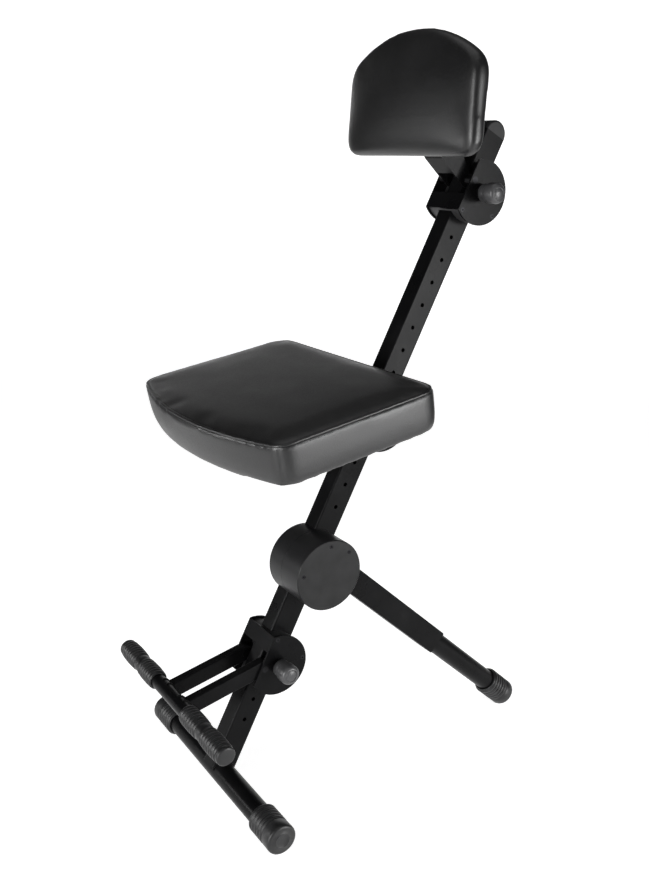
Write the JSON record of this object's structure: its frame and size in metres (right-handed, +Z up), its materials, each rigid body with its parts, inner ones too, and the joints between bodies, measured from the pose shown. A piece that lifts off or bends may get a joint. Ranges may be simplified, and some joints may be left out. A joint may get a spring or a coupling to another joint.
{
  "type": "musician chair",
  "caption": "Folding musician chair: leaning post on a front foot bar and a hinged rear leg, with a footrest, padded seat and padded backrest that slide on the post and lock with pull pins.",
  "frame": {"origin": "on the floor, under the middle of the chair's bounding box", "axes": "+Z up, -Y the front that the sitter faces, +X the side with the rear leg and the pull knobs"},
  "size_m": [0.4154, 0.6444, 1.0942],
  "materials": {
    "frame_paint": "satin black powder coat",
    "hub_paint": "satin black powder coat on cast halves",
    "cover_plastic": "smooth black moulding",
    "knob_plastic": "matte charcoal moulding",
    "guide_nylon": "black nylon",
    "rubber": "ribbed charcoal rubber",
    "vinyl": "black vinyl with a soft sheen",
    "board_wood": "black-stained plywood",
    "dark_steel": "black oxide",
    "pin_steel": "zinc plated"
  },
  "bodies": {
    "frame": {"post_tube": "frame_paint", "front_bar": "frame_paint", "post_top_cap": "cover_plastic", "foot_cap_right": "rubber", "foot_cap_left": "rubber", "hub_post_half": "hub_paint", "hub_bolt": "pin_steel", "hub_nut": "pin_steel", "hub_washer": "pin_steel", "hub_lock_barrel": "dark_steel", "hub_lock_spring": "pin_steel"},
    "rear_leg": {"hub_leg_half": "hub_paint", "hub_cover": "cover_plastic", "hub_cover_screws": "dark_steel", "leg_sleeve": "frame_paint", "leg_tube": "frame_paint", "leg_foot_cap": "rubber"},
    "hub_lock": {"hub_lock_pull_pin": "pin_steel", "hub_lock_knob": "knob_plastic"},
    "footrest_slider": {"footrest_bracket": "frame_paint", "footrest_guide": "guide_nylon", "footrest_bracket_screws": "dark_steel", "footrest_barrel": "dark_steel", "footrest_spring": "pin_steel", "footrest_hinge_pins": "dark_steel"},
    "footrest_arms": {"footrest_arm_right": "frame_paint", "footrest_arm_left": "frame_paint", "footrest_cross_bar": "frame_paint", "footrest_grip_right": "rubber", "footrest_grip_left": "rubber"},
    "footrest_lock": {"footrest_pull_pin": "pin_steel", "footrest_knob": "knob_plastic"},
    "seat_slider": {"seat_bracket": "frame_paint", "seat_guide": "guide_nylon", "seat_bracket_screws": "dark_steel", "seat_barrel": "dark_steel", "seat_spring": "pin_steel", "seat_cradle_bolts": "dark_steel", "seat_cradle": "frame_paint", "seat_board": "board_wood", "seat_cushion": "vinyl", "seat_screws": "dark_steel"},
    "seat_lock": {"seat_pull_pin": "pin_steel", "seat_knob": "knob_plastic"},
    "backrest_slider": {"backrest_bracket": "frame_paint", "backrest_guide": "guide_nylon", "backrest_bracket_screws": "dark_steel", "backrest_barrel": "dark_steel", "backrest_spring": "pin_steel", "backrest_hinge_pins": "dark_steel", "backrest_spacers": "dark_steel"},
    "backrest_support": {"backrest_support": "frame_paint", "backrest_board": "board_wood", "backrest_cushion": "vinyl", "backrest_screws": "dark_steel"},
    "backrest_lock": {"backrest_pull_pin": "pin_steel", "backrest_knob": "knob_plastic"}
  },
  "joints": [
    {"name": "leg_fold", "type": "hinge", "parent": "frame", "child": "rear_leg", "pos_m": [0, -0.086, 0.33125], "axis": [-1, 0, 0], "range_deg": [0, 50]},
    {"name": "hub_lock_pull", "type": "slide", "parent": "frame", "child": "hub_lock", "axis": [-1, 0, 0], "range_m": [-0.006, 0.004], "deforming": ["hub_lock_spring"]},
    {"name": "footrest_height", "type": "slide", "parent": "frame", "child": "footrest_slider", "axis": [0, 0.4305, 0.9026], "range_m": [-0.067, 0.0335]},
    {"name": "footrest_fold", "type": "hinge", "parent": "footrest_slider", "child": "footrest_arms", "pos_m": [0, -0.17528, 0.18936], "axis": [-1, 0, 0], "range_deg": [0, 80]},
    {"name": "footrest_lock_pull", "type": "slide", "parent": "footrest_slider", "child": "footrest_lock", "axis": [1, 0, 0], "range_m": [-0.006, 0.004], "deforming": ["footrest_spring"]},
    {"name": "seat_height", "type": "slide", "parent": "frame", "child": "seat_slider", "axis": [0, 0.4305, 0.9026], "range_m": [-0.073, 0.073]},
    {"name": "seat_lock_pull", "type": "slide", "parent": "seat_slider", "child": "seat_lock", "axis": [1, 0, 0], "range_m": [-0.006, 0.004], "deforming": ["seat_spring"]},
    {"name": "backrest_height", "type": "slide", "parent": "frame", "child": "backrest_slider", "axis": [0, 0.4305, 0.9026], "range_m": [-0.073, 0.0365]},
    {"name": "backrest_tilt", "type": "hinge", "parent": "backrest_slider", "child": "backrest_support", "pos_m": [0, 0.16095, 0.89428], "axis": [1, 0, 0], "range_deg": [0, 55]},
    {"name": "backrest_lock_pull", "type": "slide", "parent": "backrest_slider", "child": "backrest_lock", "axis": [1, 0, 0], "range_m": [-0.006, 0.004], "deforming": ["backrest_spring"]}
  ]
}
